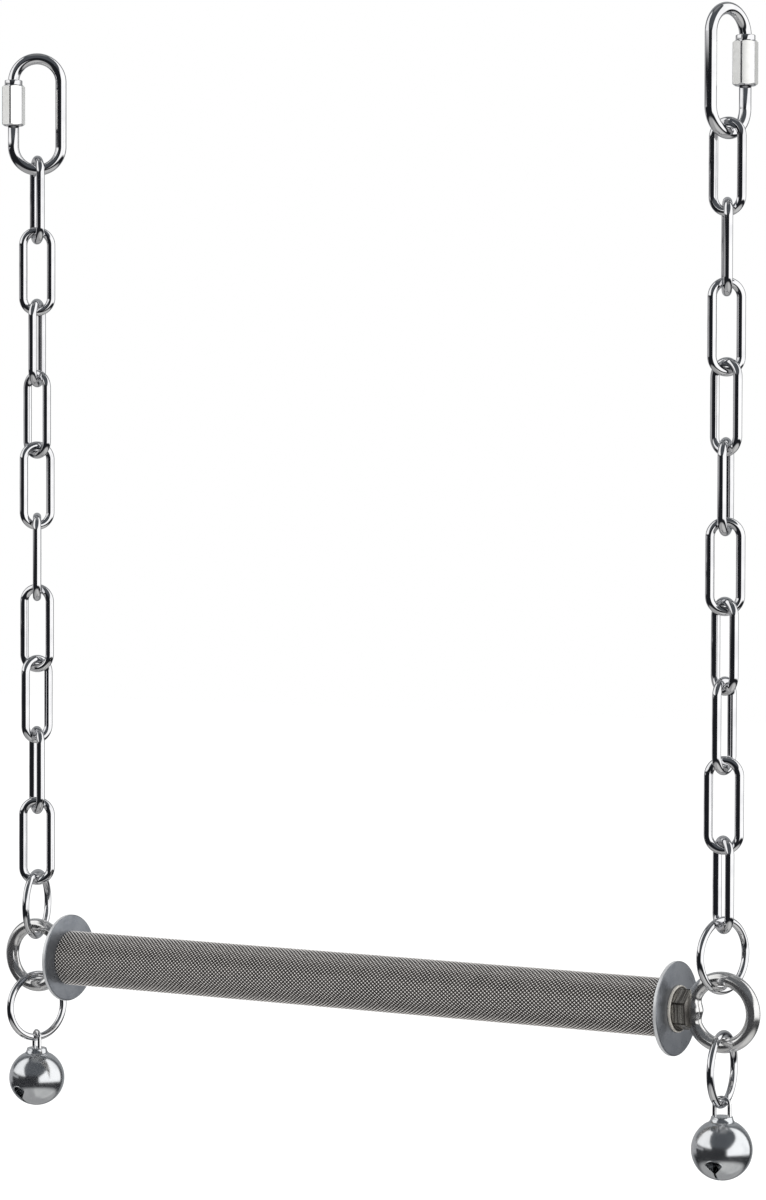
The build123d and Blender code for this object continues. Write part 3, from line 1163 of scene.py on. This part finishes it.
@dataclass
class Bell:
    """Jingle bell: a pressed hollow ball with a slit and two holes, its wire loop and its clapper."""

    diameter: float = 20.0 * MM
    wall: float = 0.8 * MM
    crown_rise: float = 0.9 * MM
    crown_diameter: float = 7.2 * MM
    crown_foot: float = 10.4 * MM
    crown_edge: float = 0.5 * MM
    crown_pull: Point = (0.25 * MM, 0.35 * MM)
    crown_steps: int = 8
    slit: float = 0.8 * MM
    hole_latitude: float = -24.0
    hole_width: float = 6.1 * MM
    hole_arch: float = 1.9 * MM
    hole_taper: float = 3.2 * MM
    lip: float = 0.16 * MM
    loop_wire: float = 1.4 * MM
    loop_radius: float = 2.6 * MM
    clapper: float = 6.0 * MM
    seam_height: float = 0.06 * MM
    seam_width: float = 0.25 * MM
    slit_turns: dict[str, float] = field(default_factory=lambda: {"left": -101.0, "right": -82.0})

    @property
    def radius(self) -> float:
        """Outer radius of the ball."""
        return self.diameter / 2

    def hole_outline(self) -> list[Point]:
        """Outline of one hole, seen from outside, with X towards the slit.

        Returns:
            Its points, from one side of the slit round to the other.
        """
        half, rise = self.hole_width / 2, self.hole_arch
        radius = (half**2 + rise**2) / (2 * rise)
        sweep = math.degrees(math.asin(half / radius))
        points = arc((radius - rise, 0.0), radius, 180 - sweep, 180 + sweep, count=20)
        return [(self.hole_taper, self.slit / 2), *points, (self.hole_taper, -self.slit / 2)]

    def hole_place(self, turn: float) -> Matrix:
        """Where a hole's outline lies on a bell whose slit is turned so."""
        tilt = Matrix.Rotation(math.radians(90 - self.hole_latitude), 4, "Y")
        return Matrix.Rotation(math.radians(turn), 4, "Z") @ tilt

    def shell(self, slit_turn: float) -> Piece:
        """Model the ball about its middle.

        Args:
            slit_turn: The slit's turn about Z in degrees.

        Returns:
            The shell in its own frame.
        """
        radius, foot, crown = self.radius, self.crown_foot / 2, self.crown_diameter / 2
        top = radius + self.crown_rise
        profile = arc((0.0, 0.0), radius, -90, math.degrees(math.acos(foot / radius)), count=72)
        shoulder = (crown, top - self.crown_edge)
        # a hollow curve leads from the ball up to the crown
        base = profile[-1]
        pull = (crown + self.crown_pull[0], base[1] + self.crown_pull[1])
        for step in range(1, self.crown_steps):
            share = step / self.crown_steps
            start, bend, end = (1 - share) ** 2, 2 * share * (1 - share), share**2
            x = start * base[0] + bend * pull[0] + end * shoulder[0]
            z = start * base[1] + bend * pull[1] + end * shoulder[1]
            profile.append((x, z))
        profile += arc((crown - self.crown_edge, top - self.crown_edge), self.crown_edge, 0, 90, count=5)
        profile.append((0.0, top))
        profile[0] = (0.0, -radius)
        obj = turned(profile, steps=160)
        inside = radius - self.wall
        hollow = added(bpy.ops.mesh.primitive_uv_sphere_add, segments=96, ring_count=64, radius=inside)
        combine(obj, hollow, Join.CUT)
        lips = []
        for end in (0.0, 180.0):
            place = self.hole_place(slit_turn + end)
            hole = prism(self.hole_outline(), 2 * radius)
            hole.data.transform(place)
            combine(obj, hole, Join.CUT)
            slot = added(bpy.ops.mesh.primitive_cube_add, size=1.0)
            size = Matrix.Diagonal((radius, self.slit, self.diameter, 1.0))
            slot.data.transform(place @ Matrix.Translation((radius / 2, 0, radius / 2)) @ size)
            combine(obj, slot, Join.CUT)
            lips.append(self.hole_lip(place))
        clean_cuts(obj)
        weld_together(obj, lips)
        smooth_by_angle(obj, degrees=40.0)
        return obj

    def hole_lip(self, place: Matrix) -> Piece:
        """Model the thin rolled lip round one hole.

        Args:
            place: Where the hole's outline lies.

        Returns:
            The lip in the bell's frame.
        """
        curve = added(bpy.ops.curve.primitive_bezier_circle_add, radius=MM)
        curve.data.splines.clear()
        spline = curve.data.splines.new("POLY")
        outline = self.hole_outline()
        spline.points.add(len(outline) - 1)
        for point, (x, y) in zip(spline.points, outline):
            depth = math.sqrt(self.radius**2 - x * x - y * y)
            point.co = (*(place @ Vector((x, y, depth))), 1.0)
        curve.data.bevel_depth = self.lip
        curve.data.bevel_resolution = 3
        curve.data.use_fill_caps = True
        make_active(curve)
        bpy.ops.object.convert(target="MESH")
        return bpy.context.object

    def loop(self, height: float) -> Piece:
        """Model the wire loop from its legs' lower ends up.

        Args:
            height: The loop's height from those ends to its crown.

        Returns:
            The loop in its own frame, its lower ends at the origin's height.
        """
        width = 2 * self.loop_radius + self.loop_wire
        oval = WireOval(2 * height, width, self.loop_wire, segments=64, sides=24)
        obj = oval.build()
        enter_edit(obj, whole=True)
        bpy.ops.mesh.bisect(plane_co=(0, 0, 0), plane_no=(0, 0, 1), use_fill=True, clear_inner=True)
        leave_edit()
        smooth_by_angle(obj, degrees=50.0)
        return obj

    def ball(self) -> Piece:
        """Model the clapper ball, with the low seam that its pressing leaves.

        Returns:
            The ball about its middle.
        """
        seam = self.seam_height
        radius = self.clapper / 2 - seam
        profile = arc((0.0, 0.0), radius, -90, 90, count=48)
        profile = [(r + seam * math.exp(-((z / self.seam_width) ** 2)), z) for r, z in profile]
        profile[0], profile[-1] = (0.0, -radius), (0.0, radius)
        obj = turned(profile, steps=64)
        make_active(obj)
        bpy.ops.object.shade_smooth()
        return obj

    def dress(self, bench: Bench, steel: Steel, wire_steel: Steel) -> None:
        """Model both bells and put them in their places.

        Args:
            bench: The frame.
            steel: The finish of the shells and clappers.
            wire_steel: The finish of the loops.
        """
        ball = self.ball()
        for side in SIDES:
            middle = bench.centre(f"bell_shell_{side}")
            # the slit runs through the lowest point, so the shell's top sets its height
            middle.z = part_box(f"bell_shell_{side}")[1].z - self.crown_rise - self.radius
            shell = self.shell(self.slit_turns[side])
            bench.seat(shell, f"bell_shell_{side}", upright(middle), steel)
            node = f"bell_loop_{side}"
            low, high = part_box(node)
            foot = bench.centre(node)
            foot.z = low.z
            loop = self.loop(high.z - low.z)
            bench.seat(loop, node, upright(foot, bench.turn(node)), wire_steel)
            node = f"bell_clapper_{side}"
            bench.seat(ball, node, upright(bench.centre(node)), steel)
            discard(shell, loop)
        discard(ball)


# Stage


@dataclass(frozen=True)
class Panel:
    """One area of the studio that the metal mirrors.

    Its edges are given in degrees, by bearing from the camera's and by height. Above a low height, a
    lean moves a side edge by so many degrees of bearing for each degree of height.
    """

    left: float
    right: float
    low: float
    high: float
    soft: float
    colour: Colour
    left_lean: float = 0.0
    right_lean: float = 0.0
    lean_from: float = 8.0

    def mask(self, graph: Graph, bearing: Socket, height: Socket) -> Socket:
        """Give the area's share in a direction.

        Args:
            graph: The world's graph.
            bearing: The direction's bearing from the camera's, in degrees.
            height: The direction's height above the horizon, in degrees.

        Returns:
            1 inside the area and 0 outside it.
        """
        rise = graph.math("MAXIMUM", graph.math("SUBTRACT", height, self.lean_from), 0.0)
        at_left = graph.math("SUBTRACT", bearing, graph.math("MULTIPLY", rise, self.left_lean))
        at_right = graph.math("SUBTRACT", bearing, graph.math("MULTIPLY", rise, self.right_lean))
        edges = (
            graph.ramp(at_left, self.left - self.soft, self.left + self.soft),
            graph.ramp(at_right, self.right - self.soft, self.right + self.soft, 1.0, 0.0),
            graph.ramp(height, self.low - self.soft, self.low + self.soft),
            graph.ramp(height, self.high - self.soft, self.high + self.soft, 1.0, 0.0),
        )
        share = edges[0]
        for edge in edges[1:]:
            share = graph.math("MULTIPLY", share, edge)
        return share


@dataclass
class Studio:
    """Camera, pale floor, soft lamp, white backdrop and the soft windows that the metal mirrors."""

    camera_place: Point = (0.7839, -1.0599)
    camera_height: float = -0.1551
    camera_bearing: float = 31.036
    camera_pitch: float = 1.642
    camera_roll: float = 0.1815
    focal_pixels: float = 3627.2
    frame_pixels: float = 1200.0
    sensor: float = 36.0
    floor_drop: float = 0.16
    floor_size: float = 9.0
    floor_place: Point = (0.14, 0.0)
    floor_colour: Colour = (0.86, 0.86, 0.86)
    floor_lift: float = 0.2
    lamp_place: tuple[float, float, float] = (0.2, -0.5, 1.2)
    lamp_size: float = 1.2
    lamp_power: float = 9.0
    dim: Colour = (0.014, 0.015, 0.018)
    panels: tuple[Panel, ...] = (
        # the walls' upper part, the ceiling, the floor and its light part at the right
        Panel(-400, 400, 14, 120, 8, (0.085, 0.092, 0.102)),
        Panel(-400, 400, 72, 120, 6, (0.24, 0.245, 0.25)),
        Panel(-400, 400, -120, -36, 6, (0.40, 0.40, 0.40)),
        Panel(-10, 115, -80, -40, 8, (0.62, 0.62, 0.61)),
        # the wall behind the object, on both sides of its middle, and beside it at the left
        Panel(140, 400, -30, 60, 12, (0.34, 0.35, 0.36)),
        Panel(-400, -140, -30, 60, 12, (0.34, 0.35, 0.36)),
        Panel(-400, -116, -14, 11, 4, (0.40, 0.40, 0.41)),
        # a narrow strip and the window at the left, and the window at the right
        Panel(-118, -78, -1, 4.5, 2, (0.42, 0.42, 0.43)),
        Panel(-118, -43, 9, 62, 2.5, (1.1, 1.1, 1.1), right_lean=-0.7),
        Panel(14, 122, -14, 66, 4, (1.25, 1.25, 1.25), left_lean=1.6),
    )

    def camera(self) -> None:
        """Set up the camera at the photograph's viewing angle."""
        bearing = math.radians(self.camera_bearing)
        pitch = math.radians(self.camera_pitch)
        level = math.cos(pitch)
        forward = Vector((-math.sin(bearing) * level, math.cos(bearing) * level, -math.sin(pitch)))
        camera = added(bpy.ops.object.camera_add, location=(*self.camera_place, self.camera_height))
        camera.name = "camera"
        turn = forward.to_track_quat("-Z", "Y").to_matrix().to_4x4()
        roll = Matrix.Rotation(math.radians(self.camera_roll), 4, "Z")
        camera.matrix_world = Matrix.Translation(camera.location) @ turn @ roll
        camera.data.sensor_width = self.sensor
        camera.data.lens = self.focal_pixels / self.frame_pixels * self.sensor
        camera.data.dof.use_dof = False
        bpy.context.scene.camera = camera

    def floor(self, lowest: float) -> None:
        """Lay the floor below the bells; it looks white to the camera and keeps the shadow.

        Args:
            lowest: The object's lowest height.
        """
        place = (*self.floor_place, lowest - self.floor_drop)
        floor = added(bpy.ops.mesh.primitive_plane_add, size=self.floor_size, location=place)
        floor.name = "floor"
        settle(floor)
        material = bpy.data.materials.new("floor_paper")
        material.use_nodes = True
        graph = Graph(material.node_tree)
        paper = graph.node("BsdfDiffuse", {"Color": (*self.floor_colour, 1.0)})
        lift = graph.node("Emission", {"Strength": self.floor_lift})
        lit = graph.node("AddShader", {0: paper.outputs[0], 1: lift.outputs[0]})
        seen = graph.layers(graph.node("LightPath").outputs["Is Camera Ray"], paper, lit)
        # from below it is clear
        back = graph.node("NewGeometry").outputs["Backfacing"]
        mixed = graph.layers(back, seen, graph.node("BsdfTransparent"))
        graph.node("OutputMaterial", {"Surface": mixed.outputs[0]})
        floor.data.materials.append(material)
        floor.visible_glossy = False
        floor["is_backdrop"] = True

    def backdrop(self) -> None:
        """Make the world: white to the camera, and a studio with soft windows to the metal."""
        world = bpy.data.worlds.new("studio")
        bpy.context.scene.world = world
        world.use_nodes = True
        graph = Graph(world.node_tree)
        place = graph.node("SeparateXYZ", {0: graph.node("TexCoord").outputs["Generated"]})
        bearing = graph.math("ARCTAN2", place.outputs[0], graph.math("MULTIPLY", place.outputs[1], -1.0))
        bearing = graph.math("SUBTRACT", bearing, math.radians(self.camera_bearing))
        bearing = graph.math("DEGREES", graph.math("WRAP", bearing, math.pi, -math.pi))
        height = graph.math("DEGREES", graph.math("ARCSINE", place.outputs[2]))
        colour: object = self.dim
        for panel in self.panels:
            colour = graph.blend(panel.mask(graph, bearing, height), colour, panel.colour)
        mirrored = graph.node("Background", {"Color": colour})
        plain = graph.node("Background", {"Color": (1.0, 1.0, 1.0, 1.0)})
        mixed = graph.layers(graph.node("LightPath").outputs["Is Glossy Ray"], plain, mirrored)
        graph.node("OutputWorld", {"Surface": mixed.outputs[0]})
        world.cycles.sampling_method = "NONE"

    def lamp(self, middle: Vector) -> None:
        """Hang one wide soft lamp above, which gives the floor its shadow.

        Args:
            middle: The object's middle.
        """
        lamp = added(bpy.ops.object.light_add, type="AREA", location=middle + Vector(self.lamp_place))
        lamp.name = "soft_lamp"
        lamp.data.shape = "SQUARE"
        lamp.data.size = self.lamp_size
        lamp.data.energy = self.lamp_power
        lamp.visible_glossy = False
        lamp.visible_camera = False
        lamp.rotation_euler = (middle - lamp.location).to_track_quat("-Z", "Y").to_euler()

    def build(self, low: Vector, high: Vector) -> None:
        """Set up the whole stage round the object.

        Args:
            low: The lowest corner of the object's box.
            high: The highest corner of it.
        """
        self.camera()
        self.floor(low.z)
        self.backdrop()
        self.lamp((low + high) / 2)
        bpy.context.scene.view_settings.view_transform = "Standard"


# Finishes of this object


POLISHED = Steel(
    "polished_wire", "polished_steel", (0.80, 0.80, 0.81), (0.72, 0.72, 0.735), (0.04, 0.075),
    Marks.DRAWN, mark_scale=60.0, bump=0.01,
)
BRIGHT = Steel(
    "bright_plated_nut", "polished_steel", (0.94, 0.94, 0.92), (0.90, 0.90, 0.87), (0.16, 0.24),
    Marks.EVEN, mark_scale=900.0, bump=0.0, metal=0.45,
)
BELL_STEEL = Steel(
    "plated_sheet", "bell_steel", (0.74, 0.755, 0.77), (0.64, 0.655, 0.675), (0.14, 0.21),
    Marks.EVEN, mark_scale=900.0, bump=0.06, metal=0.975,
)
LOOP_STEEL = Steel(
    "bell_wire", "bell_steel", (0.84, 0.84, 0.84), (0.74, 0.74, 0.75), (0.10, 0.20),
    Marks.DRAWN, mark_scale=120.0, bump=0.05,
)
EYE_STEEL = Steel(
    "polished_eye", "grey_steel", (0.84, 0.835, 0.83), (0.72, 0.715, 0.705), (0.14, 0.20),
    Marks.EVEN, mark_scale=900.0, bump=0.0, metal=0.95,
)


def perch_finishes(axis: Point, perch: Perch) -> dict[str, Steel]:
    """Give the finishes of the perch's pieces.

    Args:
        axis: Y and Z of the bar's axis.
        perch: The perch's sizes.

    Returns:
        The finishes of the bar, washers, nut and eyes.
    """
    crest, depth = perch.bar_diameter / 2, perch.knurl_depth
    rim, flange = perch.washer_diameter / 2, perch.flange_diameter / 2
    # the bar's dark colours are painted shade in the grooves, and its crests carry a painted highlight
    bar = PaintedLightSteel(
        "knurled_bar", "knurled_steel", (0.115, 0.104, 0.097), (0.07, 0.063, 0.058), (0.18, 0.30),
        Marks.EVEN, mark_scale=2500.0, bump=0.10, metal=0.9, axis=axis,
        highlight_start_radius=crest - 0.9 * depth, highlight_full_radius=crest - 0.15 * depth,
        highlight_colour=(1.0, 0.97, 0.94), highlight_metal=0.25,
    )
    # the washer's rim carries a painted highlight
    washer = PaintedLightSteel(
        "satin_washer", "satin_steel", (0.275, 0.29, 0.315), (0.225, 0.24, 0.265), (0.26, 0.40),
        Marks.TURNED, mark_scale=2200.0, bump=0.10, metal=0.85, axis=axis,
        highlight_start_radius=rim - 0.12 * MM, highlight_full_radius=rim - 0.02 * MM,
        highlight_colour=(0.66, 0.67, 0.68), highlight_metal=0.5,
    )
    # the flange's rim carries a painted highlight, and a painted dark reflection runs along the hexagon's
    # corners
    nut = PaintedLightSteel(
        "dull_nut", "grey_steel", (0.50, 0.48, 0.44), (0.13, 0.12, 0.11), (0.22, 0.34),
        Marks.ROLLED, mark_scale=1300.0, bump=0.8, metal=0.75, axis=axis,
        highlight_start_radius=flange - 0.7 * MM, highlight_full_radius=flange - 0.2 * MM, highlight_colour=(0.72, 0.69, 0.63),
        painted_dark_corner_radius=perch.nut_flats / math.sqrt(3) - 0.1 * MM,
    )
    return {"bar": bar, "washer": washer, "nut": nut, "eye": EYE_STEEL}


def main() -> None:
    """Build every sub-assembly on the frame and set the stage."""
    logging.basicConfig(level=logging.INFO, format="%(name)s: %(message)s")
    bench = Bench(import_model())
    cad_low, cad_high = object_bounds()
    Chain().dress(bench, POLISHED)
    QuickLink().dress(bench, POLISHED, BRIGHT)
    perch = Perch()
    middle = bench.centre("perch_bar")
    perch.dress(bench, perch_finishes((middle.y, middle.z), perch))
    Bell().dress(bench, BELL_STEEL, LOOP_STEEL)
    Studio().build(cad_low, cad_high)


if __name__ == "__main__":
    main()
